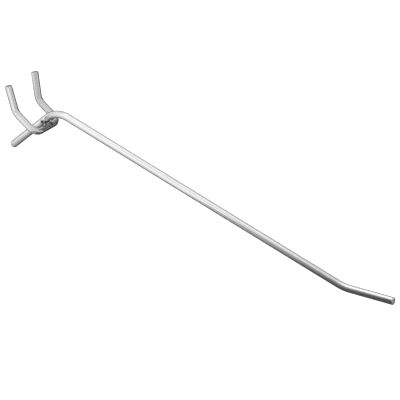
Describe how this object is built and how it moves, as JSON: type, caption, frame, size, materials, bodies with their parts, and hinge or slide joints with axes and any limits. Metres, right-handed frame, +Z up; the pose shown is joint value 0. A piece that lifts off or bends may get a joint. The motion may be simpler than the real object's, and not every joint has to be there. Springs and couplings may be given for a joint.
{
  "type": "pegboard hook",
  "caption": "Pegboard hook of bent steel wire: an arm sloping up to a turned-up tip, a stem that bears on the board, and a welded staple whose prongs catch behind board holes.",
  "frame": {"origin": "on the board's front face, midway between the two holes that the legs go through", "axes": "+Z up along the stem, -Y along the arm away from the board, X across the prongs"},
  "size_m": [0.034, 0.2574, 0.1905],
  "materials": {
    "arm_wire": "bright zinc plate on drawn steel wire",
    "staple_wire": "bright zinc plate on drawn steel wire",
    "weld": "plated weld metal, a little rough"
  },
  "bodies": {
    "root": {"hook_arm": "arm_wire", "prong_staple": "staple_wire", "weld_collar": "weld"}
  },
  "joints": []
}
